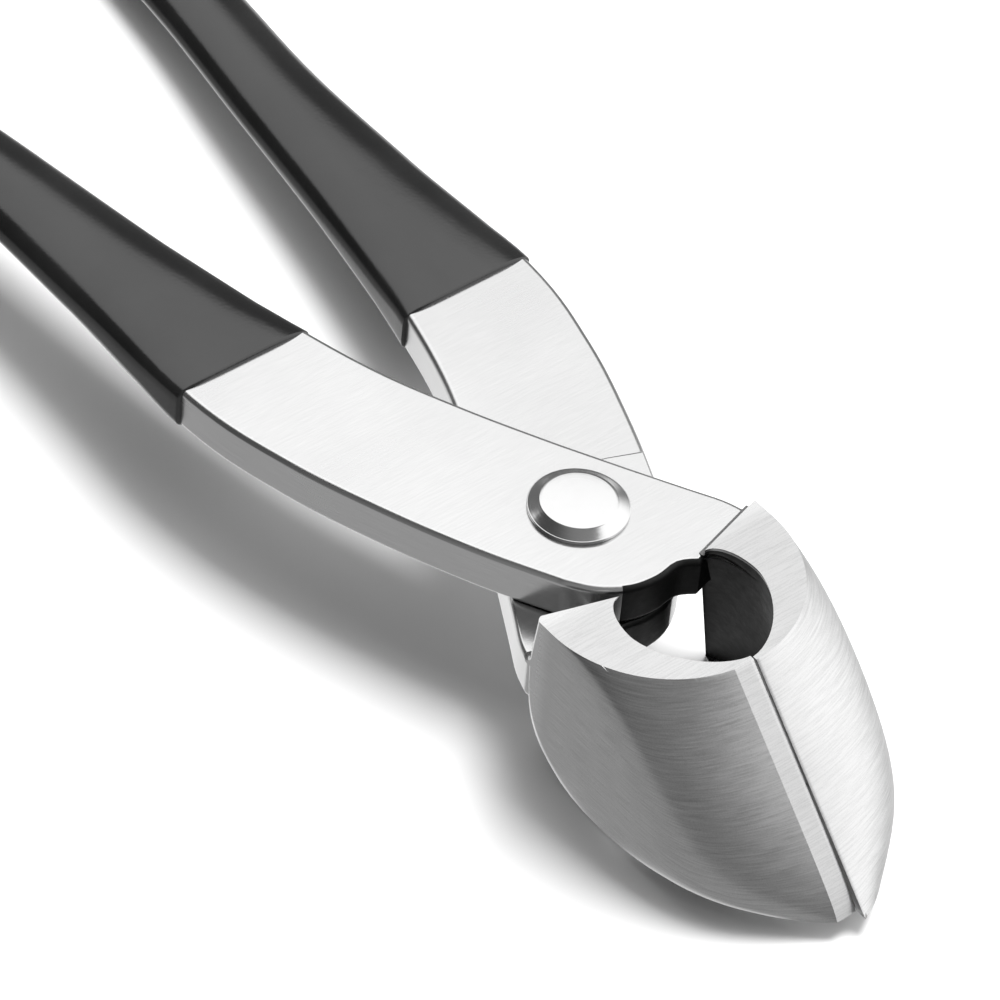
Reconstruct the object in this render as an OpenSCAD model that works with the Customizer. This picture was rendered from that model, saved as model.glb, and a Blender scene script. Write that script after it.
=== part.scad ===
// Bonsai branch cutter. Two forged steel halves cross at one riveted pivot. Each half is an arm
// that ends in a hollow jaw shell, and the two shells meet along a slanting seam at the front.
// The handles are dipped in a soft coating. All sub-parts are laid out from the pivot, with
// z = 0 on the upper arm's top face, and place() then moves them to the tool's own frame:
// +X towards the jaws, +Z along the pivot axis, origin under the middle of the closed tool.

/* [Overall] */
// Length from the handle ends to the jaw tip
overall_l = 205; // [195:1:215]

/* [Arms] */
// Thickness of each arm where the two cross
lap_t = 6; // [5:0.1:6.3]
// Thickness of each handle bar at its thickest, just behind the crossing
bar_t = 6.2; // [6.2:0.1:7.5]
// Space between the two arms at the crossing
lap_gap = 0.15; // [0.1:0.05:0.3]

/* [Pivot] */
// Radius of the rivet head
head_r = 6.25; // [5.5:0.05:7]
// Height of the rivet head
head_h = 1.5; // [1:0.1:1.8]
// Radius of the rivet shank
shank_r = 4; // [3:0.1:4.5]
// Radial clearance between the shank and the half that turns on it
shank_clear = 0.05; // [0.02:0.01:0.1]
// Radius of the washer under the peened end
washer_r = 6; // [5.5:0.1:7]
// Thickness of the washer under the peened end
washer_t = 0.8; // [0.6:0.1:1.2]

/* [Jaws] */
// Half width of the closed jaws at their top face
jaw_w = 17; // [16.5:0.1:18]
// Distance from the pivot to the seam at the top face
nose_x = 32.5; // [31:0.1:34]
// Distance from the pivot to the jaw tip
tip_x = 56; // [54:0.5:58]
// Height of the ground jaw face above the upper arm
face_rise = 1.9; // [1.6:0.1:2.5]
// Depth of the jaw underside below the upper arm
jaw_drop = 22; // [20:0.5:24]
// Width of the hairline between the closed jaws
seam_gap = 0.2; // [0.1:0.05:0.4]

/* [Grips] */
// Thickness of the dipped coating
coat_t = 0.6; // [0.5:0.05:0.8]
// Distance from the pivot back to the start of the coating
coat_x = 42.5; // [40:0.5:46]
// Radius of the coating's long edges where it starts; they grow rounder towards the handle end
grip_round = 1.2; // [0.8:0.1:1.6]

/* [Hidden] */
$fn = 64;
steel = [0.80, 0.81, 0.82];
polished = [0.88, 0.89, 0.90];
coating = [0.07, 0.07, 0.075];
pivot_x = overall_l / 2 - tip_x;   // the pivot's place along X in the tool's own frame
end_x = tip_x - overall_l;         // the handle ends, measured from the pivot
lower_top = -lap_t - lap_gap;      // the lower arm's top face at the crossing
slab = 0.02;                       // thickness of the thin outlines that a hull joins
hole_ease = 0.01;                  // play of the rivet in the pieces that it holds fast

// Middle line of the upper half's arm from the handle end to the pivot: [x, y, half width]
ARM = [
    [end_x + 2, -26.9, 2.8],
    [end_x + 7, -26.8, 3.7],
    [end_x + 20, -26.2, 4.1],
    [-106, -24.0, 4.2],
    [-87, -21.6, 5.0],
    [-65, -19.8, 6.9],
    [-coat_x, -17.7, 9.5],
    [-29, -14.5, 10.1],
    [-17, -9.9, 10.5],
    [-6, -4.8, 10.8],
    [3, 0, 10.8]
];
// Thickness of the handle bar along X: [x, thickness]
BAR_T = [[end_x, 4.6], [-100, 4.9], [-coat_x, 5.8], [-8, bar_t]];
// How much of the coating stands out at the bar's sides, and the radius of its long edges
COAT_SIDE = [[end_x, 1.5], [-100, 1.5], [-70, 1.1], [-coat_x, coat_t]];
COAT_ROUND = [[end_x, 2.6], [-105, 2.85], [-85, 2.5], [-coat_x, grip_round]];
// Points made between two stations of a curve
STEPS = 4;
// Round front of the arm, from its outer edge past the pivot to the jaw's inner corner
FRONT = [[8.4, -9.4], [11.6, -6.9], [13.9, -3.2], [14.5, 0.6], [14.1, 4.0], [15.3, 6.4]];
// Neck of the arm, from its inner edge to the jaw's outer rear corner
NECK = [[-2.4, 9.4], [4.6, 13.3], [8.7, 15.6], [12, jaw_w - 0.1]];
// Rear edge of the jaw's top face: its outer and its inner corner
REAR_OUT = [12.2, jaw_w];
REAR_IN = [15.3, 6.4];
// Side view of the jaw's rear face: [forward of the rear edge, height]
REAR = [[0.3, face_rise + 1], [-0.9, -6], [-1.1, -jaw_drop - 1]];
// Everything behind the shoulder of the lap, clear of the other arm
SHOULDER = [[-200, 20], [-24, 20], [-22.5, 0.5], [-14.9, -4.2], [-10.5, -8], [-9, -12.6],
    [-7.1, -17.4], [-5, -24], [-5, -60], [-200, -60]];

// A point on a smooth curve between b and c, whose neighbours are a and d
function blend(a, b, c, d, t) =
    0.5 * (2 * b + (c - a) * t + (2 * a - 5 * b + 4 * c - d) * t * t
    + (3 * b - a - 3 * c + d) * t * t * t);
// A smooth curve through every point of a list
function curve(p) = concat(
    [for (i = [0:len(p) - 2], s = [0:STEPS - 1])
        blend(p[max(i - 1, 0)], p[i], p[i + 1], p[min(i + 2, len(p) - 1)], s / STEPS)],
    [p[len(p) - 1]]);
// Sideways direction of a curve at its point i
function side(p, i) =
    let (a = p[max(i - 1, 0)], b = p[min(i + 1, len(p) - 1)], d = [b.x - a.x, b.y - a.y])
    [-d.y, d.x] / norm(d);
// One edge of a strip that follows the stations p, where k is 1 or -1
function edge(p, k) = [for (i = [0:len(p) - 1]) [p[i].x, p[i].y] + side(p, i) * k * p[i].z];
function reverse(p) = [for (i = [len(p) - 1:-1:0]) p[i]];
// A value that passes through a, m and b at t = 0, 0.5 and 1
function through(a, m, b, t) =
    a * (1 - t) * (1 - 2 * t) + m * 4 * t * (1 - t) + b * t * (2 * t - 1);
// Quarter of a rounded outline from [xm, b] to [xf, 0], where n sets how full it is
function quarter(xm, xf, b, n) = [for (a = [0:7.5:90])
    [xm + (xf - xm) * pow(sin(a), 2 / n), b * pow(cos(a), 2 / n)]];
// Side of a jaw from [xm, b] to its front at [xf, 0]: the front is pointed by p, the side full by q
function flank(xm, xf, b, p, q) = [for (a = [0:7.5:90])
    [xm + (xf - xm) * pow(1 - pow(cos(a), p), 1 / q), b * cos(a)]];

BAR = curve(ARM);

// Plan of the upper half's arm, with a short tongue that runs into the jaw
module arm_plan() {
    polygon(concat(edge(BAR, -1), curve(FRONT),
        [[REAR_IN.x, 10.5], [REAR_IN.x, jaw_w - 0.5], REAR_OUT], reverse(curve(NECK)),
        reverse(edge([for (s = BAR) if (s.x < -4) s], 1))));
}

// Arm of the upper half: a thin lap at the pivot and a thicker bar behind its shoulder
module arm() {
    translate([0, 0, -lap_t])
        linear_extrude(lap_t)
            difference() {
                arm_plan();
                polygon(SHOULDER);
            }
    intersection() {
        translate([0, 0, -bar_t])
            linear_extrude(bar_t)
                intersection() {
                    arm_plan();
                    polygon(SHOULDER);
                }
        bar_side();
    }
}

// Side view of the handle bar, as wide as both handles: its underside rises towards the handle end
module bar_side() {
    translate([0, 60, 0])
        rotate([90, 0, 0])
            linear_extrude(120)
                polygon(concat([[5, 1], [end_x - 1, 1]], [for (b = BAR_T) [b[0] - (b[0] == end_x ? 1 : 0), -b[1]]],
                    [[5, -bar_t]]));
}

// Outside of the closed jaws on the +Y side, which leans forward from the top face to the tip.
// Its rear corner is sharp at the top and rounds away towards the underside.
module jaw_outside() {
    hull()
        for (t = [0, 0.2, 0.45, 0.7, 0.88, 1]) {
            wide = jaw_w - 0.5 * t;
            front = nose_x + (tip_x - nose_x) * t;
            translate([0, 0, face_rise - slab - t * (jaw_drop + face_rise - slab)])
                linear_extrude(slab)
                    polygon(concat([[10.5, -1]],
                        [for (a = [0:18:90])
                            [10.5 + 14 * pow(t, 6) * (1 - cos(a)), wide - 4.5 * pow(t, 4) * (1 - sin(a))]],
                        flank(15.8 + 10.2 * t, front, wide, 1.3 + 0.7 * pow(1 - t, 8),
                            through(2, 7.3, 2.3, t)),
                        [[front, -1]]));
        }
}

// Hollow inside the closed jaws, which widens from the top opening to the underside
module jaw_hollow() {
    hull() {
        translate([0, 0, face_rise])
            linear_extrude(1)
                polygon(concat([[15, -2], [15, 5.4], [15.6, 7.3], [17.3, 8.8], [19, 9.45]],
                    quarter(21.2, nose_x - 1.5, 9.7, 1.65), [[nose_x - 1.5, -2]]));
        translate([0, 0, -jaw_drop - 1])
            linear_extrude(1)
                polygon(concat([[8, -2], [8, 10], [12.2, 12.4]],
                    quarter(24, tip_x - 1.4, 13.3, 1.35), [[tip_x - 1.4, -2]]));
    }
}

// Jaw shell of the upper half, cut off at its slanting rear and at the seam
module jaw() {
    difference() {
        intersection() {
            jaw_outside();
            translate([REAR_OUT.x, REAR_OUT.y, 0])
                rotate([90, 0, atan((REAR_IN.x - REAR_OUT.x) / (REAR_OUT.y - REAR_IN.y))])
                    linear_extrude(80, center = true)
                        polygon(concat(REAR, [[70, -jaw_drop - 1], [70, face_rise + 1]]));
            translate([0, seam_gap / 2, -jaw_drop - 5])
                cube([80, 30, jaw_drop + 10]);
        }
        jaw_hollow();
    }
}

// Bore for the rivet through an arm whose top face is at z = 0
module pivot_bore(r) {
    translate([0, 0, -lap_t - 1])
        cylinder(h = lap_t + 2, r = r);
}

// Outline of a bar's cross-section, w and h from its middle to its sides, with corners of radius r
function section(w, h, r) = [for (k = [0:3], a = [0:30:90])
    let (sx = k == 0 || k == 3 ? 1 : -1, sz = k < 2 ? 1 : -1, t = 90 * k + a)
    [sx * (w - r) + r * cos(t), sz * (h - r) + r * sin(t)]];
// Half width and half height of the coating at a station of the bar
function coat_size(s) = [s.z + lookup(s.x, COAT_SIDE), lookup(s.x, BAR_T) / 2 + coat_t];

// Handle coating of the upper half before its bar is cut out: a rounded bar with a domed end
module grip_body() {
    stations = [for (s = BAR) if (s.x < 6 - coat_x) s];
    first = stations[0];
    dome = [for (d = [[0, 0.6], [0.5, 0.8], [1.4, 0.95]])
        concat([end_x + d[0], first.y], coat_size(first) * d[1])];
    rings = concat(dome, [for (s = stations) concat([s.x, s.y], coat_size(s))]);
    around = len(section(1, 1, 1));
    points = [for (i = [0:len(rings) - 1])
        let (r = rings[i], s = side(rings, i), round = min(lookup(r.x, COAT_ROUND), 0.93 * r[3]))
        for (c = section(r.z, r[3], round))
            [r.x + s.x * c.x, r.y + s.y * c.x, c.y - lookup(r.x, BAR_T) / 2]];
    walls = [for (i = [0:len(rings) - 2], j = [0:around - 1])
        let (a = i * around, b = a + around, k = (j + 1) % around)
        [a + j, b + j, b + k, a + k]];
    last = (len(rings) - 1) * around;
    caps = [[for (j = [0:around - 1]) j], [for (j = [around - 1:-1:0]) last + j]];
    polyhedron(points, concat(walls, caps));
}

// Coating of the upper half's handle
module grip() {
    difference() {
        grip_body();
        arm();
        translate([-coat_x, -50, -25])
            cube([50, 100, 50]);
    }
}

// Place of a sub-part in the tool's own frame
module place() {
    translate([pivot_x, 0, jaw_drop])
        children();
}

// Place of the lower half's arm and coating, which are the upper ones turned over
module lower_side() {
    translate([0, 0, lower_top - lap_t])
        mirror([0, 1, 0])
            mirror([0, 0, 1])
                children();
}

// Half with the left handle and the right jaw: its arm passes over the other one
module upper_half() {
    color(steel)
        place()
            difference() {
                union() {
                    arm();
                    jaw();
                }
                pivot_bore(shank_r);
            }
}

// Half with the right handle and the left jaw: its arm passes under the other one
module lower_half() {
    color(steel)
        place()
            difference() {
                union() {
                    lower_side()
                        arm();
                    mirror([0, 1, 0])
                        jaw();
                }
                translate([0, 0, lower_top])
                    pivot_bore(shank_r + shank_clear);
            }
}

// Rivet with a low conical head above and a peened end below
module pivot_rivet() {
    foot = lower_top - lap_t - lap_gap - washer_t;
    shank = shank_r - hole_ease;
    color(polished)
        place()
            rotate_extrude()
                polygon([[0, head_h], [0.79 * head_r, head_h], [head_r, 0.4 * head_h], [head_r, 0],
                    [shank, 0], [shank, foot], [1.3 * shank_r, foot], [1.3 * shank_r, foot - 0.4],
                    [0.9 * shank_r, foot - 1.3], [0, foot - 1.3]]);
}

// Flat ring that the rivet's end is peened against
module pivot_washer() {
    color(steel)
        place()
            translate([0, 0, lower_top - lap_t - lap_gap - washer_t])
                difference() {
                    cylinder(h = washer_t, r = washer_r);
                    translate([0, 0, -1])
                        cylinder(h = washer_t + 2, r = shank_r);
                }
}

// Dipped coating of the upper half's handle
module upper_grip() {
    color(coating)
        place()
            grip();
}

// Dipped coating of the lower half's handle
module lower_grip() {
    color(coating)
        place()
            lower_side()
                grip();
}

upper_half();
lower_half();
pivot_rivet();
pivot_washer();
upper_grip();
lower_grip();
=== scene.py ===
"""Bonsai branch cutter: two crossed steel halves with hollow jaws, a rivet and dipped handles.

All lengths are millimetres from the pivot, with x towards the jaws, y towards the lower half's
handle and z = 0 on the upper arm's top face. Layout.place turns them into the frame's metres.
"""

import logging
import math
from collections.abc import Callable, Sequence
from dataclasses import dataclass, field
from enum import Enum

import bmesh
import bpy
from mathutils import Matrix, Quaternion, Vector


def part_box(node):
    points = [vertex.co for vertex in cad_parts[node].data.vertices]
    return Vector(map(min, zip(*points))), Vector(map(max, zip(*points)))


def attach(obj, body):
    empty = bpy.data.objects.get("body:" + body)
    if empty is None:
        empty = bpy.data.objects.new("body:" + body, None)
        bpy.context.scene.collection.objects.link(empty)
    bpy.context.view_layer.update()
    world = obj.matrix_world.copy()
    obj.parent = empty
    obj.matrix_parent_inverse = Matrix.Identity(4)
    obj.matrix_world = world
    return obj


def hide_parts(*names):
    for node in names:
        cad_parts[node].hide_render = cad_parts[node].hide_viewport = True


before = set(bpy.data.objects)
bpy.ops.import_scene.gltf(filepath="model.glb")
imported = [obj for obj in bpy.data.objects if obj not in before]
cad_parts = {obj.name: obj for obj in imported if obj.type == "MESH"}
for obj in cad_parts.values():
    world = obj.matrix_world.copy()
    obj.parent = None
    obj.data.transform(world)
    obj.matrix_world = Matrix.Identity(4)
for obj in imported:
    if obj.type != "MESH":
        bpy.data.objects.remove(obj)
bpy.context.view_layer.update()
LOG = logging.getLogger("branch_cutter")

MM = 0.001
Point2 = tuple[float, float]
Point3 = tuple[float, float, float]
Taper = tuple[float, float]  # a size at the jaw's top face, and its change down to the underside


class Body(Enum):
    """The two bodies that turn against each other at the pivot."""

    UPPER = "upper_body"
    LOWER = "lower_body"


class Slot(Enum):
    """The record's material slots."""

    SATIN = "satin_steel"
    POLISHED = "polished_steel"
    COATING = "dipped_coating"


# ---------------------------------------------------------------------------------------------
# Curves
# ---------------------------------------------------------------------------------------------


def blend(a: Sequence[float], b: Sequence[float], c: Sequence[float], d: Sequence[float],
          t: float) -> tuple[float, ...]:
    """Finds a point on a smooth curve between b and c.

    Args:
        a: The station before b.
        b: The station where t is 0.
        c: The station where t is 1.
        d: The station after c.
        t: How far along the stretch the point is.

    Returns:
        The point, with as many numbers as a station has.
    """
    return tuple(
        0.5 * (2 * q + (r - p) * t + (2 * p - 5 * q + 4 * r - s) * t * t
               + (3 * q - p - 3 * r + s) * t * t * t)
        for p, q, r, s in zip(a, b, c, d))


def smooth(stations: Sequence[Sequence[float]], steps: int) -> list[tuple[float, ...]]:
    """Runs a smooth curve through every station.

    Args:
        stations: The points that the curve passes through.
        steps: Points made between two stations.

    Returns:
        The curve's points, with the last station at the end.
    """
    last = len(stations) - 1
    curve = [
        blend(stations[max(i - 1, 0)], stations[i], stations[i + 1], stations[min(i + 2, last)],
              s / steps)
        for i in range(last) for s in range(steps)]
    return [*curve, tuple(stations[last])]


def sideways(path: Sequence[Sequence[float]], i: int) -> Point2:
    """Returns the unit direction to the left of a path at its point i."""
    a, b = path[max(i - 1, 0)], path[min(i + 1, len(path) - 1)]
    dx, dy = b[0] - a[0], b[1] - a[1]
    length = math.hypot(dx, dy)
    return -dy / length, dx / length


def lookup(x: float, table: Sequence[Point2]) -> float:
    """Reads a value from a table of (x, value) rows, straight between them.

    Args:
        x: Where to read.
        table: Rows in rising order of x.

    Returns:
        The value at x, or the nearest row's value outside the table.
    """
    if x <= table[0][0]:
        return table[0][1]
    for (x0, v0), (x1, v1) in zip(table, table[1:]):
        if x <= x1:
            return v0 + (v1 - v0) * (x - x0) / (x1 - x0)
    return table[-1][1]


def through(a: float, m: float, b: float, t: float) -> float:
    """Returns a value that passes through a, m and b at t = 0, 0.5 and 1."""
    return a * (1 - t) * (1 - 2 * t) + m * 4 * t * (1 - t) + b * t * (2 * t - 1)


def taper(size: Taper, t: float) -> float:
    """Returns a jaw size at a depth t, from 0 at the top face to 1 at the underside."""
    return size[0] + size[1] * t


# ---------------------------------------------------------------------------------------------
# Modelling
# ---------------------------------------------------------------------------------------------


class Bench:
    """Blender's own modelling tools, each used on one mesh object."""

    @staticmethod
    def clear() -> None:
        """Deselects everything, so that the next operator acts on its own piece only."""
        if bpy.context.object and bpy.context.object.mode != "OBJECT":
            bpy.ops.object.mode_set(mode="OBJECT")
        bpy.ops.object.select_all(action="DESELECT")

    @classmethod
    def activate(cls, piece: bpy.types.Object) -> None:
        """Selects one piece alone and makes it the active one."""
        cls.clear()
        piece.select_set(True)
        bpy.context.view_layer.objects.active = piece

    @classmethod
    def outline(cls, name: str, points: Sequence[Vector]) -> bpy.types.Object:
        """Lays a flat filled face with a given outline.

        Args:
            name: The new object's name.
            points: The outline's corners in metres, in order.

        Returns:
            The flat piece.
        """
        cls.clear()
        bpy.ops.mesh.primitive_circle_add(vertices=len(points), radius=MM, fill_type="NGON")
        piece = bpy.context.object
        piece.name = piece.data.name = name
        for vertex, point in zip(piece.data.vertices, points):
            vertex.co = point
        return piece

    @classmethod
    def raise_outline(cls, piece: bpy.types.Object, rise: float) -> None:
        """Extrudes a flat outline straight along Z into a closed solid.

        Args:
            piece: The flat piece.
            rise: How far to extrude, in metres. It is negative to go down.
        """
        cls.activate(piece)
        bpy.ops.object.mode_set(mode="EDIT")
        bpy.ops.mesh.select_all(action="SELECT")
        bpy.ops.mesh.extrude_region_move(TRANSFORM_OT_translate={"value": (0, 0, rise)})
        cls.face_outwards(piece)

    @classmethod
    def cut_across(cls, piece: bpy.types.Object, x: float) -> None:
        """Adds a line of edges around a piece where a plane across X meets it.

        Args:
            piece: The solid to mark.
            x: The plane's place, in metres.
        """
        cls.activate(piece)
        bpy.ops.object.mode_set(mode="EDIT")
        bpy.ops.mesh.select_all(action="SELECT")
        bpy.ops.mesh.bisect(plane_co=(x, 0, 0), plane_no=(1, 0, 0))
        bpy.ops.object.mode_set(mode="OBJECT")

    @classmethod
    def loft(cls, name: str, rings: Sequence[Sequence[Vector]]) -> bpy.types.Object:
        """Skins a stack of closed rings and closes both of its ends.

        Args:
            name: The new object's name.
            rings: Rings of points in metres, each with the same count.

        Returns:
            The closed solid.
        """
        cls.clear()
        around, levels = len(rings[0]), len(rings)
        bpy.ops.mesh.primitive_grid_add(x_subdivisions=around, y_subdivisions=levels - 1, size=MM)
        piece = bpy.context.object
        piece.name = piece.data.name = name
        for k, vertex in enumerate(piece.data.vertices):
            level, i = divmod(k, around + 1)
            vertex.co = rings[level][i % around]
        bpy.ops.object.mode_set(mode="EDIT")
        bpy.ops.mesh.select_all(action="SELECT")
        bpy.ops.mesh.remove_doubles(threshold=1e-7)
        bpy.ops.object.mode_set(mode="OBJECT")
        cls.close(piece, rings[0])
        cls.close(piece, rings[-1])
        cls.face_outwards(piece)
        return piece

    @classmethod
    def close(cls, piece: bpy.types.Object, ring: Sequence[Vector]) -> None:
        """Fills the open end of a skin with one face.

        Args:
            piece: The skin.
            ring: The points of the open end.
        """
        cls.activate(piece)
        bpy.ops.object.mode_set(mode="EDIT")
        bpy.ops.mesh.select_mode(type="VERT")
        mesh = bmesh.from_edit_mesh(piece.data)
        places = {tuple(round(c, 7) for c in point) for point in ring}
        for vertex in mesh.verts:
            vertex.select = tuple(round(c, 7) for c in vertex.co) in places
        mesh.select_flush(True)
        bmesh.update_edit_mesh(piece.data)
        bpy.ops.mesh.edge_face_add()
        bpy.ops.object.mode_set(mode="OBJECT")

    @classmethod
    def face_outwards(cls, piece: bpy.types.Object) -> None:
        """Turns all faces of a closed piece outwards, which its signed volume confirms."""
        cls.activate(piece)
        bpy.ops.object.mode_set(mode="EDIT")
        bpy.ops.mesh.select_all(action="SELECT")
        bpy.ops.mesh.normals_make_consistent(inside=False)
        if bmesh.from_edit_mesh(piece.data).calc_volume(signed=True) < 0:
            bpy.ops.mesh.flip_normals()
        bpy.ops.object.mode_set(mode="OBJECT")

    @classmethod
    def turned(cls, name: str, profile: Sequence[Point2], centre: Vector,
               steps: int = 96) -> bpy.types.Object:
        """Turns a profile around the pivot axis, as on a lathe.

        Args:
            name: The new object's name.
            profile: Radius and height of each point, in millimetres.
            centre: The axis' place, at height 0 of the profile, in metres.
            steps: Faces around the axis.

        Returns:
            The turned solid.
        """
        cls.clear()
        bpy.ops.mesh.primitive_circle_add(vertices=len(profile), radius=MM, fill_type="NOTHING")
        piece = bpy.context.object
        piece.name = piece.data.name = name
        for vertex, (radius, height) in zip(piece.data.vertices, profile):
            vertex.co = centre + Vector((radius, 0, height)) * MM
        bpy.ops.object.mode_set(mode="EDIT")
        bpy.ops.mesh.select_all(action="SELECT")
        bpy.ops.mesh.spin(steps=steps, angle=math.tau, center=centre, axis=(0, 0, 1))
        bpy.ops.mesh.select_all(action="SELECT")
        bpy.ops.mesh.remove_doubles(threshold=1e-6)
        cls.face_outwards(piece)
        return piece

    @classmethod
    def combine(cls, piece: bpy.types.Object, other: bpy.types.Object, operation: str) -> None:
        """Joins another solid to a piece or cuts it away, and uses the other one up.

        Args:
            piece: The solid that stays.
            other: The solid that is joined or cut away.
            operation: UNION or DIFFERENCE.
        """
        cls.activate(piece)
        modifier = piece.modifiers.new("combine", "BOOLEAN")
        modifier.object = other
        modifier.operation = operation
        modifier.solver = "EXACT"
        bpy.ops.object.modifier_apply(modifier=modifier.name)
        bpy.data.objects.remove(other)

    @classmethod
    def ease_edges(cls, piece: bpy.types.Object, width: float, angle: float = 40,
                   segments: int = 3, clamp: bool = True) -> None:
        """Rounds every edge that is sharper than an angle.

        Args:
            piece: The solid.
            width: Width of the rounding, in millimetres.
            angle: The least angle that counts as sharp, in degrees.
            segments: Faces across the rounding.
            clamp: Whether close edges make the rounding narrower.
        """
        cls.activate(piece)
        modifier = piece.modifiers.new("ease", "BEVEL")
        modifier.width = width * MM
        modifier.limit_method = "ANGLE"
        modifier.angle_limit = math.radians(angle)
        modifier.segments = segments
        modifier.use_clamp_overlap = clamp
        bpy.ops.object.modifier_apply(modifier=modifier.name)

    @classmethod
    def crease(cls, piece: bpy.types.Object, chosen: Callable[[Vector], bool]) -> None:
        """Keeps an edge crisp wherever both of its ends are chosen.

        Args:
            piece: The solid.
            chosen: Tells whether a point, in metres, is on the crisp line.
        """
        mesh = piece.data
        for edge in mesh.edges:
            if all(chosen(mesh.vertices[i].co) for i in edge.vertices):
                edge.use_edge_sharp = True

    @classmethod
    def polish(cls, piece: bpy.types.Object, angle: float = 32) -> None:
        """Shades a piece smoothly, with crisp lines where it turns sharply.

        Args:
            piece: The finished mesh.
            angle: The least angle that stays crisp, in degrees.
        """
        cls.activate(piece)
        bpy.ops.object.shade_smooth_by_angle(angle=math.radians(angle))
        modifier = piece.modifiers.new("weighted", "WEIGHTED_NORMAL")
        modifier.keep_sharp = True
        bpy.ops.object.modifier_apply(modifier=modifier.name)


# ---------------------------------------------------------------------------------------------
# Shaders
# ---------------------------------------------------------------------------------------------


class Signal:
    """A shader socket that can be used in arithmetic."""

    def __init__(self, shader: "Shader", socket: bpy.types.NodeSocket) -> None:
        """Wraps a socket of a shader."""
        self.shader = shader
        self.socket = socket

    def _math(self, operation: str, *values: "Signal | float") -> "Signal":
        """Adds one Math node and returns its result."""
        node = self.shader.node("ShaderNodeMath", {"operation": operation},
                                dict(enumerate(values)))
        return Signal(self.shader, node.outputs[0])

    def __add__(self, other: "Signal | float") -> "Signal":
        """Adds."""
        return self._math("ADD", self, other)

    __radd__ = __add__

    def __sub__(self, other: "Signal | float") -> "Signal":
        """Subtracts."""
        return self._math("SUBTRACT", self, other)

    def __rsub__(self, other: "Signal | float") -> "Signal":
        """Subtracts from a number."""
        return self._math("SUBTRACT", other, self)

    def __mul__(self, other: "Signal | float") -> "Signal":
        """Multiplies."""
        return self._math("MULTIPLY", self, other)

    __rmul__ = __mul__

    def __pow__(self, other: float) -> "Signal":
        """Raises to a power."""
        return self._math("POWER", self, other)

    def __abs__(self) -> "Signal":
        """Drops the sign."""
        return self._math("ABSOLUTE", self)

    def ramp(self, low: float, high: float) -> "Signal":
        """Returns a smooth mask that rises from 0 at low to 1 at high."""
        node = self.shader.node("ShaderNodeMapRange", {"interpolation_type": "SMOOTHSTEP"},
                                {"Value": self, "From Min": low, "From Max": high})
        return Signal(self.shader, node.outputs[0])


class Shader:
    """A node tree under construction."""

    def __init__(self, tree: bpy.types.NodeTree) -> None:
        """Empties the tree."""
        self.tree = tree
        tree.nodes.clear()

    def node(self, kind: str, settings: dict[str, object] | None = None,
             inputs: dict[str | int, object] | None = None) -> bpy.types.Node:
        """Adds a node.

        Args:
            kind: The node's type.
            settings: Its settings, set before its sockets.
            inputs: Values or links of its sockets, by name or by number.

        Returns:
            The node.
        """
        made = self.tree.nodes.new(kind)
        for key, value in (settings or {}).items():
            setattr(made, key, value)
        for key, value in (inputs or {}).items():
            socket = made.inputs[key]
            if isinstance(value, Signal):
                value = value.socket
            if isinstance(value, bpy.types.NodeSocket):
                self.tree.links.new(value, socket)
            else:
                socket.default_value = value
        return made

    def coordinates(self, output: str = "Object") -> bpy.types.NodeSocket:
        """Returns one output of a Texture Coordinate node."""
        return self.node("ShaderNodeTexCoord").outputs[output]

    def parts(self, vector: bpy.types.NodeSocket) -> tuple[Signal, Signal, Signal]:
        """Splits a vector into its three signals."""
        split = self.node("ShaderNodeSeparateXYZ", inputs={0: vector})
        return tuple(Signal(self, socket) for socket in split.outputs)

    def noise(self, scale: Point3, detail: float = 3, roughness: float = 0.55) -> Signal:
        """Makes noise that can be stretched along an axis.

        Args:
            scale: Changes per metre along X, Y and Z.
            detail: Layers of finer noise.
            roughness: Strength of the finer layers.

        Returns:
            The noise, around 0.5.
        """
        mapping = self.node("ShaderNodeMapping", {"vector_type": "POINT"},
                            {"Vector": self.coordinates(), "Scale": scale})
        made = self.node("ShaderNodeTexNoise", inputs={
            "Vector": mapping.outputs[0], "Scale": 1.0, "Detail": detail, "Roughness": roughness})
        return Signal(self, made.outputs["Fac"])

    def mix(self, factor: Signal, first: object, second: object) -> bpy.types.NodeSocket:
        """Mixes two colours.

        Args:
            factor: 0 for the first colour and 1 for the second.
            first: A colour with its alpha, or a colour socket.
            second: A colour with its alpha, or a colour socket.

        Returns:
            The mixed colour's socket.
        """
        made = self.node("ShaderNodeMix", {"data_type": "RGBA", "clamp_factor": True},
                         {0: factor, 6: first, 7: second})
        return made.outputs[2]

    def surface(self, **inputs: object) -> None:
        """Ends the tree in one Principled shader with these inputs."""
        principled = self.node("ShaderNodeBsdfPrincipled",
                               inputs={k.replace("_", " "): v for k, v in inputs.items()})
        self.node("ShaderNodeOutputMaterial", inputs={"Surface": principled.outputs[0]})

    def bump(self, height: Signal, strength: float, distance: float) -> bpy.types.NodeSocket:
        """Turns a height into a surface normal.

        Args:
            height: The height, from 0 to 1.
            strength: How much of the bump shows.
            distance: The height that 1 stands for, in metres.

        Returns:
            The normal's socket.
        """
        made = self.node("ShaderNodeBump", inputs={
            "Strength": strength, "Distance": distance, "Height": height})
        return made.outputs["Normal"]


def grey(value: float) -> tuple[float, float, float, float]:
    """Returns a neutral colour."""
    return value, value, value, 1.0


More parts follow.
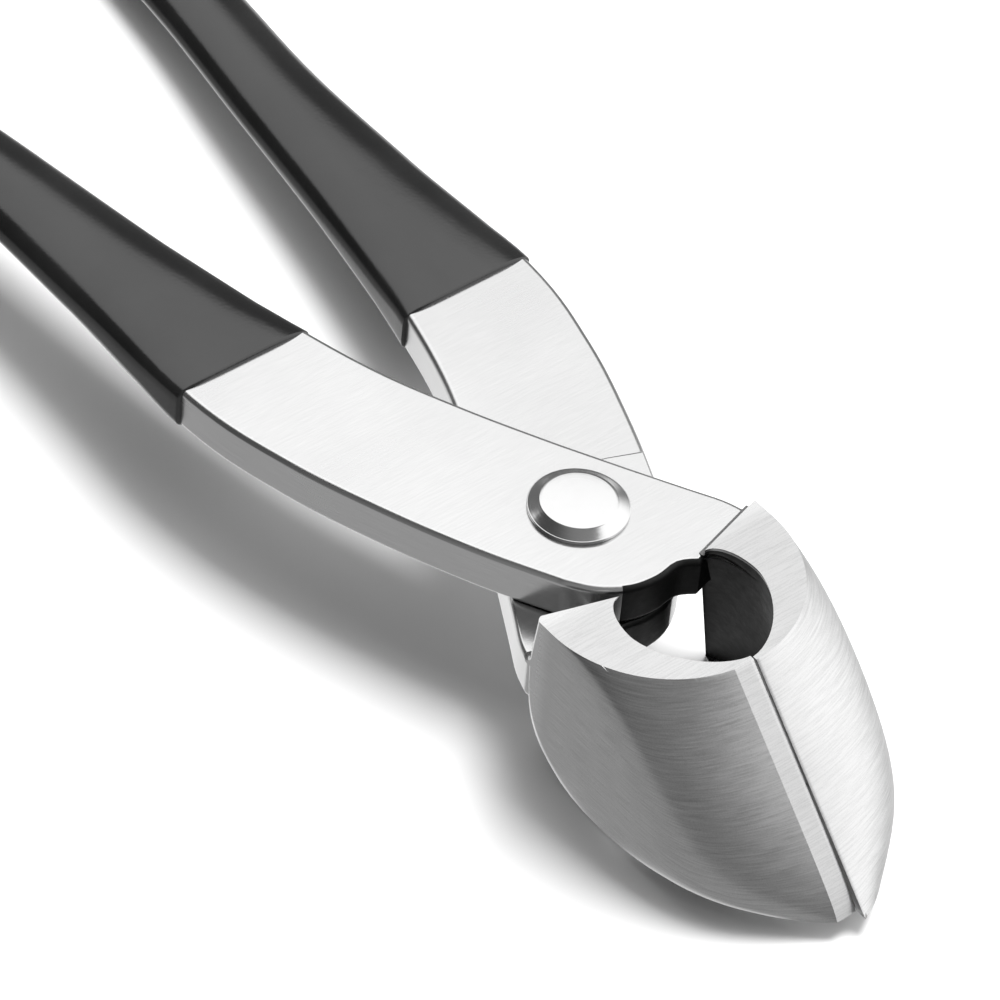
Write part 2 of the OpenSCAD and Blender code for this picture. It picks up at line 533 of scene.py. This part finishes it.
@dataclass(frozen=True)
class SatinSteel:
    """Ground stainless steel: brushed jaws, and arms rubbed smoother behind them, with painted
    shade darkening the jaws' sideways-facing flanks.
    """

    name: str = "satin_steel"
    bright: float = 0.68
    shade: float = 0.40
    roughness: float = 0.25
    arm_front: float = 13.0
    arm_width: float = 3.0
    face_brush: Point3 = (4600, 260, 900)
    flank_brush: Point3 = (240, 240, 7000)
    grain: Point3 = (7000, 7000, 7000)
    cloud: Point3 = (70, 70, 70)
    flat_from: Point2 = (0.80, 0.97)
    # Range of sideways normals over which the jaws' flanks get painted shade.
    flank_shade_from: Point2 = (0.15, 0.50)

    def build(self, layout: "Layout") -> bpy.types.Material:
        """Builds the material.

        Args:
            layout: Gives the pivot's place.

        Returns:
            The material.
        """
        material = bpy.data.materials.new(self.name)
        material.use_nodes = True
        shader = Shader(material.node_tree)
        x = shader.parts(shader.coordinates())[0]
        _, side, up = shader.parts(shader.coordinates("Normal"))
        level = abs(up).ramp(*self.flat_from)
        start = layout.pivot.x + self.arm_front * MM
        jaw = x.ramp(start, start + self.arm_width * MM)
        # Painted shade: a mask of the jaw faces that turn sideways, darkened in the base colour
        # below.
        flank = abs(side).ramp(*self.flank_shade_from) * jaw
        face_streaks = shader.noise(self.face_brush, 3)
        flank_streaks = shader.noise(self.flank_brush, 3)
        streaks = face_streaks * level + flank_streaks * (1 - level)
        grain = shader.noise(self.grain, 2)
        cloud = shader.noise(self.cloud, 4)
        cut = jaw * 0.7 + 0.3
        texture = (streaks * 0.65 + grain * 0.35 - 0.5) * cut
        # Base tone: the steel's own streaks, grain and cloud, less the painted shade on the
        # flanks.
        tone = texture * 2.2 + cloud * 0.24 - flank * 0.44 + 0.70
        shader.surface(
            Base_Color=shader.mix(tone, grey(self.shade), grey(self.bright)),
            Metallic=1.0,
            Roughness=texture * 0.3 + cloud * 0.16 + (jaw * 0.12 + self.roughness - 0.08),
            Normal=shader.bump(streaks * cut, 0.12, 0.00002),
            Anisotropic=0.3,
        )
        return material


@dataclass(frozen=True)
class PaintedHollowShade:
    """Near-black painted shade on the walls inside the hollow jaws, in darker and paler random
    patches.
    """

    name: str = "painted_hollow_shade"
    # Two near-black tones of the painted shade in the hollow, mixed in random patches.
    scale: float = 0.012
    paler_shade: float = 0.022
    roughness: float = 0.5

    def build(self, _layout: "Layout") -> bpy.types.Material:
        """Builds the material.

        Args:
            _layout: Not used: the pattern needs no centre.

        Returns:
            The material.
        """
        material = bpy.data.materials.new(self.name)
        material.use_nodes = True
        shader = Shader(material.node_tree)
        skin = shader.noise((900, 900, 900), 4)
        patches = shader.noise((180, 180, 180), 3)
        # Painted shade: the hollow's walls are coloured near-black.
        shader.surface(
            Base_Color=shader.mix(patches.ramp(0.45, 0.75), grey(self.scale), grey(self.paler_shade)),
            Metallic=0.6,
            Roughness=skin * 0.2 + (self.roughness - 0.1),
            Normal=shader.bump(skin, 0.5, 0.0001),
        )
        return material


@dataclass(frozen=True)
class PolishedSteel:
    """Steel with a soft polish and the light marks of its turning."""

    name: str = "polished_steel"
    bright: float = 0.70
    shade: float = 0.58
    roughness: float = 0.16

    def build(self, layout: "Layout") -> bpy.types.Material:
        """Builds the material.

        Args:
            layout: Gives the pivot's place, where the turning marks are centred.

        Returns:
            The material.
        """
        material = bpy.data.materials.new(self.name)
        material.use_nodes = True
        shader = Shader(material.node_tree)
        x, y, z = shader.parts(shader.coordinates())
        across, along = x - layout.pivot.x, y - layout.pivot.y
        radius = (across * across + along * along) ** 0.5
        lathe = shader.node("ShaderNodeTexNoise", {"noise_dimensions": "1D"}, {
            "W": radius + z, "Scale": 4200.0, "Detail": 2.0})
        marks = Signal(shader, lathe.outputs["Fac"])
        cloud = shader.noise((420, 420, 420), 4)
        shader.surface(
            Base_Color=shader.mix(cloud * 0.8 + marks * 0.2, grey(self.shade), grey(self.bright)),
            Metallic=1.0,
            Roughness=cloud * 0.16 + marks * 0.05 + (self.roughness - 0.08),
            Normal=shader.bump(marks * 0.4 + cloud * 0.6, 0.25, 0.00008),
        )
        return material


@dataclass(frozen=True)
class DippedCoating:
    """Glossy black vinyl, a little wavy from dipping and duller where hands rub it."""

    name: str = "dipped_coating"
    colour: float = 0.006
    rubbed: float = 0.012
    roughness: float = 0.15

    def build(self, _layout: "Layout") -> bpy.types.Material:
        """Builds the material.

        Args:
            _layout: Not used: the pattern needs no centre.

        Returns:
            The material.
        """
        material = bpy.data.materials.new(self.name)
        material.use_nodes = True
        shader = Shader(material.node_tree)
        wear = shader.noise((60, 60, 60), 5, 0.6)
        waves = shader.noise((45, 160, 160), 2)
        pores = shader.noise((2600, 2600, 2600), 2)
        shader.surface(
            Base_Color=shader.mix(wear.ramp(0.35, 0.75), grey(self.colour), grey(self.rubbed)),
            Roughness=wear * 0.10 + pores * 0.04 + (self.roughness - 0.07),
            IOR=1.6,
            Normal=shader.bump(waves * 0.85 + pores * 0.15, 0.3, 0.0002),
        )
        return material


# ---------------------------------------------------------------------------------------------
# The cutter
# ---------------------------------------------------------------------------------------------


@dataclass(frozen=True)
class Layout:
    """Driving sizes of the cutter and its place in the frame."""

    pivot: Vector
    lap: float = 6.0
    gap: float = 0.15
    bar: float = 6.2
    end: float = -149.0
    coat_start: float = -42.5
    coat: float = 0.6
    face: float = 1.9
    drop: float = 22.0
    half_width: float = 17.0
    nose: float = 32.5
    tip: float = 56.0
    seam: float = 0.1
    turn_over: float = field(init=False, default=-12.15)

    def place(self, x: float, y: float, z: float) -> Vector:
        """Turns a place from the pivot, in millimetres, into the frame's metres."""
        return self.pivot + Vector((x, y, z)) * MM

    def depth(self, z: float) -> float:
        """Returns how deep a height is in the jaw: 0 at the top face and 1 at the underside."""
        return (self.face - z) / (self.face + self.drop)


@dataclass(frozen=True)
class Side:
    """Which half a piece belongs to: the upper one, or the lower one, which is turned over."""

    body: Body
    turned: bool

    def arm_point(self, layout: Layout, x: float, y: float, z: float) -> Vector:
        """Places a point of an arm or grip, turned over on the lower half."""
        if self.turned:
            return layout.place(x, -y, layout.turn_over - z)
        return layout.place(x, y, z)

    def jaw_point(self, layout: Layout, x: float, y: float, z: float) -> Vector:
        """Places a point of a jaw, mirrored on the lower half."""
        return layout.place(x, -y if self.turned else y, z)


UPPER = Side(Body.UPPER, False)
LOWER = Side(Body.LOWER, True)


@dataclass(frozen=True)
class ArmShape:
    """Plan and thickness of one arm, as the upper half has it."""

    stations: tuple[Point3, ...] = (
        (-147, -26.9, 2.8), (-142, -26.8, 3.7), (-129, -26.2, 4.1), (-106, -24.0, 4.2),
        (-87, -21.6, 5.0), (-65, -19.8, 6.9), (-42.5, -17.7, 9.5), (-29, -14.5, 10.1),
        (-17, -9.9, 10.5), (-6, -4.8, 10.8), (3, 0, 10.8))
    front: tuple[Point2, ...] = (
        (8.4, -9.4), (11.6, -6.9), (13.9, -3.2), (14.5, 0.6), (14.1, 4.0), (15.3, 6.4))
    tongue: tuple[Point2, ...] = ((14.5, 9.0), (15.4, 12.0), (15.4, 16.2))
    neck: tuple[Point2, ...] = ((-2.4, 9.4), (4.6, 13.3), (8.7, 15.6), (11.8, 16.7))
    shoulder: tuple[Point2, ...] = (
        (-24, 22), (-22.5, 0.5), (-14.9, -4.2), (-10.5, -8), (-9, -12.6), (-7.1, -17.4),
        (-5, -24), (40, -24), (40, 22))
    thickness: tuple[Point2, ...] = ((-149, 4.6), (-100, 4.9), (-43, 5.8), (-8, 6.08))
    steps: int = 8
    coat_start: float = -42.5
    tang: float = 0.78

    def path(self) -> list[tuple[float, ...]]:
        """Returns the arm's middle line with its half widths."""
        return smooth(self.stations, self.steps)

    def plan(self) -> list[Point2]:
        """Returns the arm's outline, once round from its handle end."""
        path = self.path()
        edges = {-1: [], 1: []}
        for i, (x, y, half) in enumerate(path):
            nx, ny = sideways(path, i)
            reach = half * (self.tang if x < self.coat_start - 4 else 1)
            for sign, edge in edges.items():
                if sign < 0 or x < -4:
                    edge.append((x + nx * reach * sign, y + ny * reach * sign))
        return [*edges[-1], *smooth(self.front, self.steps // 2), *self.tongue,
                *reversed(smooth(self.neck, self.steps // 2)), *reversed(edges[1])]


@dataclass(frozen=True)
class JawShape:
    """Sections of one jaw shell from its top face down to its underside."""

    outside_points: int = 44
    inside_points: int = 30
    corner_points: int = 8
    levels: int = 46
    fillet_levels: int = 6
    rear_out: Point2 = (12.2, 17.0)
    rear_in: Point2 = (15.3, 6.4)
    rear_lean: tuple[Point2, ...] = ((-22.0, -1.1), (-6, -0.9), (2.9, 0.3))
    fillet: float = 1.0
    fillet_foot: float = 0.4
    wall: float = 0.6
    draft: float = 0.5
    middle: Taper = (15.8, 10.2)
    flank_power: Taper = (1.3, 0.7)
    flank_fade: int = 8
    fullness: Point3 = (2, 7.3, 2.3)
    corner_foot: Point2 = (14.0, 4.5)
    corner_fade: tuple[int, int] = (6, 4)
    hollow_middle: Taper = (21.2, 2.8)
    hollow_width: Taper = (9.7, 3.6)
    hollow_power: Taper = (1.65, -0.3)
    hollow_setback: float = 1.5
    mouth: Taper = (6.6, 5.5)

    def rear(self, y: float, z: float, arm_top: float) -> float:
        """Finds where the leaning rear face is.

        Args:
            y: Distance from the seam plane.
            z: Height.
            arm_top: Height of the arm's top face, where a fillet meets it.

        Returns:
            The face's x.
        """
        slant = (self.rear_in[0] - self.rear_out[0]) / (self.rear_out[1] - self.rear_in[1])
        lean = lookup(z, self.rear_lean)
        up = min(max((z - arm_top) / self.fillet, 0), 1)
        below = z < arm_top - self.fillet_foot
        flare = 0 if below else self.fillet * (1 - math.sqrt(1 - (1 - up) ** 2))
        return self.rear_out[0] + lean + slant * (self.rear_out[1] - y) - flare

    def section(self, layout: Layout, z: float, arm_top: float, land: float,
                corner_cut: float) -> list[Point2]:
        """Builds one closed section of the shell.

        Args:
            layout: The driving sizes.
            z: Height of the section.
            arm_top: Height of the arm's top face.
            land: Width of the flat ground beside the seam.
            corner_cut: Rounding of the rear outer corner at the top face.

        Returns:
            The section's points, from the rear outer corner round the outside and back inside.
        """
        t = layout.depth(z)
        wide = layout.half_width - self.draft * t
        front = layout.nose + (layout.tip - layout.nose) * t
        middle = taper(self.middle, t)
        point = taper(self.flank_power, (1 - t) ** self.flank_fade)
        full = through(*self.fullness, t)
        long, deep = (
            corner_cut + (foot - corner_cut) * t ** fade
            for foot, fade in zip(self.corner_foot, self.corner_fade))
        rear = self.rear(wide - deep, z, arm_top)
        corner = [
            (rear + long * (1 - math.cos(a)), wide - deep * (1 - math.sin(a)))
            for a in (math.pi / 2 * i / self.corner_points for i in range(self.corner_points))]
        outside = []
        border = math.floor(
            math.acos(land / layout.half_width) / (math.pi / 2) * self.outside_points)
        for i in range(self.outside_points + 1):
            y = wide * math.cos(math.pi / 2 * i / self.outside_points)
            y = land if land and i == border else y
            share = (1 - (y / wide) ** point) ** (1 / full) if y < wide else 0
            outside.append((middle + (front - middle) * share, max(y, layout.seam)))
        start = rear + long
        outside = [(max(x, start + 0.02 * i), y) for i, (x, y) in enumerate(outside)]
        limit = middle + (front - middle) * (1 - (land / wide) ** point) ** (1 / full)
        outside = [(min(x, limit), y) for x, y in outside]
        return [*corner, *outside, *self.hollow(layout, z, arm_top, limit - self.wall)]

    def hollow(self, layout: Layout, z: float, arm_top: float, reach: float) -> list[Point2]:
        """Builds the inner side of a section, from the seam back to the rear face.

        Args:
            layout: The driving sizes.
            z: Height of the section.
            arm_top: Height of the arm's top face.
            reach: The furthest x that the hollow may have.

        Returns:
            The inner points.
        """
        t = layout.depth(z)
        middle, wide, power, turn = (
            taper(size, t)
            for size in (self.hollow_middle, self.hollow_width, self.hollow_power, self.mouth))
        slope = (layout.tip - layout.nose + 0.1) / (layout.drop + layout.face + 1)
        front = min(layout.nose - self.hollow_setback + (layout.face + 1 - z) * slope, reach)
        rear = self.rear(turn, z, arm_top)
        points = []
        for i in range(self.inside_points + 1):
            a = math.pi / 2 * (1 - i / self.inside_points)
            points.append((middle + (front - middle) * math.sin(a) ** (2 / power),
                           max(wide * math.cos(a) ** (2 / power), layout.seam)))
        quarter = self.inside_points // 2
        for i in range(1, quarter + 1):
            a = math.pi / 2 * i / quarter
            points.append((middle - (middle - rear) * math.sin(a),
                           turn + (wide - turn) * math.cos(a)))
        return points

    def heights(self, layout: Layout, arm_top: float) -> list[float]:
        """Returns the heights of all sections, closer together at the arm's fillet."""
        span = layout.face + layout.drop
        even = [layout.face - span * i / self.levels for i in range(self.levels + 1)]
        fine = [arm_top + self.fillet * i / self.fillet_levels
                for i in range(self.fillet_levels + 1)]
        near = 0.1
        kept = [z for z in even
                if not arm_top - near < z < arm_top + self.fillet + near or z == even[0]]
        under = arm_top - self.fillet_foot
        return sorted({*kept, *fine, under, under - 0.01}, reverse=True)


@dataclass
class Half:
    """One steel half: an arm with its bore and a hollow jaw."""

    name: str
    side: Side
    bore: float
    land: float
    corner_cut: float
    layout: Layout
    arm_shape: ArmShape = field(default_factory=ArmShape)
    jaw_shape: JawShape = field(default_factory=JawShape)
    hollow_core: float = 24.0
    hollow_start: Point2 = (13.2, 12.3)
    hollow_edge: float = 0.35
    rim_width: float = 0.4
    rim_front: float = 17.0
    edge_back: float = 20.0
    arm_edge: float = 0.85
    jaw_edge: float = 0.16

    def arm(self) -> bpy.types.Object:
        """Models the arm, with its lap, its thinning bar, its bore and its eased edges.

        Returns:
            The arm.
        """
        shape, layout, side = self.arm_shape, self.layout, self.side
        arm = Bench.outline(self.name, [side.arm_point(layout, x, y, 0) for x, y in shape.plan()])
        down = side.arm_point(layout, 0, 0, -layout.bar) - side.arm_point(layout, 0, 0, 0)
        Bench.raise_outline(arm, down.z)
        for x, _ in shape.thickness[1:]:
            Bench.cut_across(arm, layout.place(x, 0, 0).x)
        top = side.arm_point(layout, 0, 0, 0).z
        for vertex in arm.data.vertices:
            if abs(vertex.co.z - top) > MM:
                x = (vertex.co.x - layout.pivot.x) / MM
                depth = lookup(x, shape.thickness)
                vertex.co.z = side.arm_point(layout, 0, 0, -depth).z
        Bench.ease_edges(arm, self.arm_edge, 60, 5, clamp=False)
        lap = Bench.outline("lap_cut", [
            side.arm_point(layout, x, y, -layout.lap) for x, y in shape.shoulder])
        Bench.raise_outline(lap, down.z)
        Bench.combine(arm, lap, "DIFFERENCE")
        Bench.clear()
        bpy.ops.mesh.primitive_cylinder_add(
            vertices=96, radius=self.bore * MM, depth=3 * layout.lap * MM,
            location=side.arm_point(layout, 0, 0, -layout.lap / 2))
        bore = bpy.context.object
        bpy.ops.object.transform_apply(location=True, rotation=True, scale=True)
        Bench.combine(arm, bore, "DIFFERENCE")
        return arm

    def jaw(self) -> bpy.types.Object:
        """Models the jaw shell and eases its edges.

        Returns:
            The jaw.
        """
        layout, shape = self.layout, self.jaw_shape
        arm_top = layout.turn_over + layout.lap if self.side.turned else 0.0
        rings = [
            [self.side.jaw_point(layout, x, y, z)
             for x, y in shape.section(layout, z, arm_top, self.land, self.corner_cut)]
            for z in shape.heights(layout, arm_top)]
        jaw = Bench.loft(f"{self.name}_jaw", rings)
        Bench.ease_edges(jaw, self.jaw_edge, 42, 2)
        return jaw

    def build(self, finish: bpy.types.Material, inside: bpy.types.Material) -> bpy.types.Object:
        """Joins arm and jaw, dresses the half in steel and paints shade on the walls of its
        hollow.

        Args:
            finish: The steel.
            inside: The painted shade for the walls of the hollow.

        Returns:
            The finished half.
        """
        half = self.arm()
        Bench.combine(half, self.jaw(), "UNION")
        Bench.crease(half, self.on_land_border)
        Bench.polish(half)
        half.data.materials.clear()
        half.data.materials.append(finish)
        half.data.materials.append(inside)
        # The hollow's walls take the painted shade, the rest of the half the steel.
        for face in half.data.polygons:
            face.material_index = int(self.in_hollow(face))
        return half

    def on_land_border(self, point: Vector) -> bool:
        """Tells whether a point lies on the crisp border of the flat ground by the seam."""
        place = (point - self.layout.pivot) / MM
        on_line = abs(abs(place.y) - self.land) < 0.02
        return self.land > 0 and place.x > self.edge_back and on_line

    def in_hollow(self, face: bpy.types.MeshPolygon) -> bool:
        """Tells whether a face belongs to the wall of the jaw's hollow, which gets the painted
        shade.
        """
        place = (face.center - self.layout.pivot) / MM
        start = self.hollow_start[place.z <= self.layout.turn_over + 1]
        ahead = place.x > start and place.z < self.layout.face - self.hollow_edge
        off_the_seam = place.x < self.edge_back or abs(place.y) > 1.5 * self.layout.seam
        inward = Vector((self.hollow_core - place.x, -place.y)).normalized()
        faces_in = face.normal.xy.dot(inward) > 0.25
        rim = taper(self.jaw_shape.mouth, self.layout.depth(place.z)) + self.rim_width
        by_the_arm = place.x < self.rim_front and abs(place.y) < rim and face.normal.z < 0.5
        return ahead and (faces_in or by_the_arm) and off_the_seam


@dataclass
class Grip:
    """The dipped sleeve on one handle."""

    name: str
    side: Side
    layout: Layout
    shape: ArmShape = field(default_factory=ArmShape)
    side_coat: tuple[Point2, ...] = ((-149, 1.5), (-100, 1.5), (-70, 1.1), (-42.5, 0.6))
    squareness: tuple[Point2, ...] = (
        (-149, 2.1), (-105, 2.1), (-85, 2.2), (-65, 2.6), (-50, 3.6), (-45.5, 4.6), (-42.5, 5.0))
    square_on: float = -65.0
    around: int = 48
    lip: float = 0.35

    def ring(self, path: Sequence[Sequence[float]], i: int, shrink: float,
             x: float | None = None) -> list[Vector]:
        """Builds the sleeve's section at a point of the arm's path.

        Args:
            path: The arm's middle line.
            i: The point's number.
            shrink: 1 for the full section, and less at a rounded end.
            x: The section's own x, where it isn't the point's.

        Returns:
            The section's points.
        """
        px, py, half = path[i][:3]
        nx, ny = sideways(path, i)
        turn = min(max((px - self.square_on) / (self.layout.coat_start - self.square_on), 0), 1)
        nx, ny = nx * (1 - turn), ny * (1 - turn) + turn / ny
        thick = lookup(px, self.shape.thickness)
        wide = (half + lookup(px, self.side_coat)) * shrink
        high = (thick / 2 + self.layout.coat) * shrink
        power = 2 / lookup(px, self.squareness)
        points = []
        for step in range(self.around):
            a = math.tau * (step + 0.5) / self.around
            u = math.copysign(wide * abs(math.cos(a)) ** power, math.cos(a))
            w = math.copysign(high * abs(math.sin(a)) ** power, math.sin(a))
            points.append(self.side.arm_point(
                self.layout, (px if x is None else x) + nx * u, py + ny * u, w - thick / 2))
        return points

    def build(self, finish: bpy.types.Material) -> bpy.types.Object:
        """Models the sleeve with a domed end and a rounded lip, and dresses it.

        Args:
            finish: The coating.

        Returns:
            The finished grip.
        """
        layout = self.layout
        path = [p for p in self.shape.path() if p[0] <= layout.coat_start + 0.01]
        last = len(path) - 1
        reach = path[0][0] - layout.end
        dome = [
            self.ring(path, 0, 0.45 + 0.55 * math.sin(a), layout.end + reach * (1 - math.cos(a)))
            for a in (math.pi / 2 * k / 8 for k in range(1, 8))]
        body = [self.ring(path, i, 1) for i in range(last)]
        thick = lookup(layout.coat_start, self.shape.thickness) / 2 + layout.coat
        lip = [
            self.ring(path, last, 1 - self.lip / thick * (1 - math.cos(a)),
                      layout.coat_start - self.lip * (1 - math.sin(a)))
            for a in (math.pi / 2 * k / 5 for k in range(6))]
        grip = Bench.loft(self.name, [*dome, *body, *lip])
        Bench.polish(grip, 50)
        grip.data.materials.clear()
        grip.data.materials.append(finish)
        return grip


@dataclass
class Rivet:
    """The pivot rivet with its low conical head, and the washer under its peened end."""

    layout: Layout
    head: float = 6.25
    flat: float = 4.9
    rise: float = 1.5
    rim: float = 0.5
    shank: float = 3.99
    crown: float = 0.08
    ease: float = 0.18
    washer: float = 6.0
    washer_rise: float = 0.8
    peened: float = 5.2
    peened_end: tuple[Point2, ...] = ((0, 0), (0, 0.35), (0.4, 0.85), (1.2, 1.2), (2.6, 1.3))
    axis: float = 0.001

    def foot(self) -> float:
        """Returns the height of the washer's underside."""
        return self.layout.turn_over - self.layout.gap - self.washer_rise

    def rivet(self) -> bpy.types.Object:
        """Turns the rivet: domed top, hollowed flank, thin rim, shank and peened end."""
        dome = [(self.flat * s, self.rise - self.crown * s * s)
                for s in (self.axis, 0.25, 0.5, 0.75, 0.9)]
        brow = self.rise - self.crown - self.ease
        shoulder = [
            (self.flat - self.ease + self.ease * math.sin(a), brow + self.ease * math.cos(a))
            for a in (math.pi / 2 * k / 5 for k in range(1, 5))]
        rim = [(self.head - 0.16, self.rim), (self.head - 0.05, self.rim),
               (self.head, self.rim - 0.04), (self.head, 0.12), (self.head - 0.1, 0.0)]
        foot = self.foot()
        shank = [(self.shank, 0.0), (self.shank, foot)]
        end = [(self.peened - inset, foot - down) for inset, down in self.peened_end]
        end.append((self.axis, end[-1][1]))
        profile = [*dome, *shoulder, *rim, *shank, *end]
        rivet = Bench.turned("rivet", profile, self.layout.place(0, 0, 0))
        Bench.polish(rivet, 38)
        return rivet

    def ring(self) -> bpy.types.Object:
        """Turns the washer with eased edges."""
        foot, top = self.foot(), self.foot() + self.washer_rise
        ease, inner = 0.12, self.layout.lap * 2 / 3
        profile = [(inner, foot), (self.washer - ease, foot), (self.washer, foot + ease),
                   (self.washer, top - ease), (self.washer - ease, top), (inner, top)]
        washer = Bench.turned("washer", profile, self.layout.place(0, 0, 0))
        Bench.polish(washer, 30)
        return washer


@dataclass
class Studio:
    """Pale floor, soft light and the camera."""

    eye: Point3 = (0.4410, -0.3800, 0.5714)
    aim: Point3 = (0.0401, -0.0069, 0.0220)
    roll: float = 5.85
    lens: float = 234.0
    split_slope: float = 0.50
    split_edge: Point2 = (-0.01, 0.07)
    wall_edge: Point2 = (-0.40, 0.05)
    tent_edge: Point2 = (0.54, 0.66)
    tent: float = 1.62
    dark: float = 0.09
    far_dark: float = 0.20
    front: float = 0.28
    front_edge: Point2 = (-0.25, 0.35)
    ground_near: float = 0.46
    ground_far: float = 1.08
    horizon: Point2 = (-0.25, 0.02)
    floor_size: float = 6.0
    paper: float = 0.88
    key_place: Point3 = (-0.12, 0.58, 1.38)
    key_size: float = 0.8
    key_power: float = 30.0
    rest_front: Point2 = (0.0600, 0.0)
    rest_back: Point2 = (-0.0980, 0.0090)

    def camera(self) -> None:
        """Sets the camera, tilted a little about its own line of sight."""
        data = bpy.data.cameras.new("camera")
        data.lens = self.lens
        data.sensor_width = 36.0
        data.clip_start, data.clip_end = 0.01, 20.0
        camera = bpy.data.objects.new("camera", data)
        bpy.context.scene.collection.objects.link(camera)
        way = Vector(self.aim) - Vector(self.eye)
        camera.location = self.eye
        camera.rotation_mode = "QUATERNION"
        spin = Quaternion((0, 0, 1), math.radians(self.roll))
        camera.rotation_quaternion = way.to_track_quat("-Z", "Y") @ spin
        bpy.context.scene.camera = camera

    def floor(self) -> None:
        """Lays the floor that the jaws and handles rest on, which steel doesn't mirror."""
        Bench.clear()
        bpy.ops.mesh.primitive_grid_add(x_subdivisions=8, y_subdivisions=8, size=self.floor_size)
        floor = bpy.context.object
        floor.name = "floor"
        (x0, z0), (x1, z1) = self.rest_front, self.rest_back
        slope, gap = (z1 - z0) / (x1 - x0), 0.1 * MM
        for vertex in floor.data.vertices:
            vertex.co.z = z0 + (vertex.co.x - x0) * slope - gap
        material = bpy.data.materials.new("paper")
        material.use_nodes = True
        shader = Shader(material.node_tree)
        shader.surface(Base_Color=grey(self.paper), Roughness=0.9)
        floor.data.materials.append(material)
        floor.visible_glossy = False

    def sky(self) -> None:
        """Surrounds the tool with half a white tent, open and dark on the camera's side.

        The tent has a ground of its own for the steel to mirror, dimmer on the camera's side.
        """
        world = bpy.data.worlds.new("tent")
        bpy.context.scene.world = world
        world.use_nodes = True
        shader = Shader(world.node_tree)
        x, y, z = shader.parts(shader.coordinates("Generated"))
        height = z.ramp(*self.tent_edge)
        wall = x.ramp(*self.wall_edge)
        cover = height + wall - height * wall
        half = (y - x * self.split_slope).ramp(*self.split_edge)
        open_side = shader.mix(x.ramp(*self.front_edge), grey(self.dark), grey(self.front))
        far_side = shader.mix(cover, grey(self.far_dark), grey(self.tent))
        above = shader.mix(half, open_side, far_side)
        ground = shader.mix(half, grey(self.ground_near), grey(self.ground_far))
        light = shader.mix(z.ramp(*self.horizon), ground, above)
        background = shader.node("ShaderNodeBackground", inputs={"Color": light, "Strength": 1.0})
        shader.node("ShaderNodeOutputWorld", inputs={"Surface": background.outputs[0]})

    def lamp(self, name: str, place: Point3, size: float, power: float) -> None:
        """Hangs one square softbox that faces the tool and stays out of its reflections.

        Args:
            name: The lamp's name.
            place: Its place, in metres.
            size: Its side, in metres.
            power: Its power, in watts.
        """
        data = bpy.data.lights.new(name, "AREA")
        data.shape, data.size, data.energy = "SQUARE", size, power
        lamp = bpy.data.objects.new(name, data)
        lamp.visible_glossy = False
        bpy.context.scene.collection.objects.link(lamp)
        lamp.location = place
        lamp.rotation_mode = "QUATERNION"
        lamp.rotation_quaternion = (Vector(self.aim) - Vector(place)).to_track_quat("-Z", "Y")

    def build(self) -> None:
        """Sets everything around the tool."""
        self.camera()
        self.floor()
        self.sky()
        self.lamp("key_box", self.key_place, self.key_size, self.key_power)
        bpy.context.scene.view_settings.view_transform = "Standard"


def hang(piece: bpy.types.Object, body: Body, node: str) -> None:
    """Puts a finished piece in a CAD node's place.

    Args:
        piece: The finished piece.
        body: The body that it moves with.
        node: The CAD node that it stands for.
    """
    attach(piece, body.value)
    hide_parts(node)
    LOG.info("%s: %d faces", piece.name, len(piece.data.polygons))


def main() -> None:
    """Builds the studio and every piece of the cutter, in order."""
    logging.basicConfig(level=logging.INFO, format="%(message)s")
    low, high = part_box("pivot_rivet")
    rivet = Rivet(Layout(Vector((0, 0, 0))))
    middle = (low + high) / 2
    layout = Layout(Vector((middle.x, middle.y, high.z - rivet.rise * MM)))
    rivet = Rivet(layout)
    Studio().build()
    satin = SatinSteel().build(layout)
    # Near-black painted shade for the walls inside the hollow jaws.
    hollow_shade_paint = PaintedHollowShade().build(layout)
    polished = PolishedSteel().build(layout)
    coating = DippedCoating().build(layout)

    halves = (
        Half("upper_steel", UPPER, bore=4.0, land=0.0, corner_cut=0.1, layout=layout),
        Half("lower_steel", LOWER, bore=4.05, land=3.0, corner_cut=0.9, layout=layout))
    for half, node in zip(halves, ("upper_half", "lower_half")):
        hang(half.build(satin, hollow_shade_paint), half.side.body, node)
    grips = (Grip("left_sleeve", UPPER, layout), Grip("right_sleeve", LOWER, layout))
    for grip, node in zip(grips, ("upper_grip", "lower_grip")):
        hang(grip.build(coating), grip.side.body, node)
    for piece, node in ((rivet.rivet(), "pivot_rivet"), (rivet.ring(), "pivot_washer")):
        piece.data.materials.clear()
        piece.data.materials.append(polished)
        hang(piece, Body.UPPER, node)


if __name__ == "__main__":
    main()
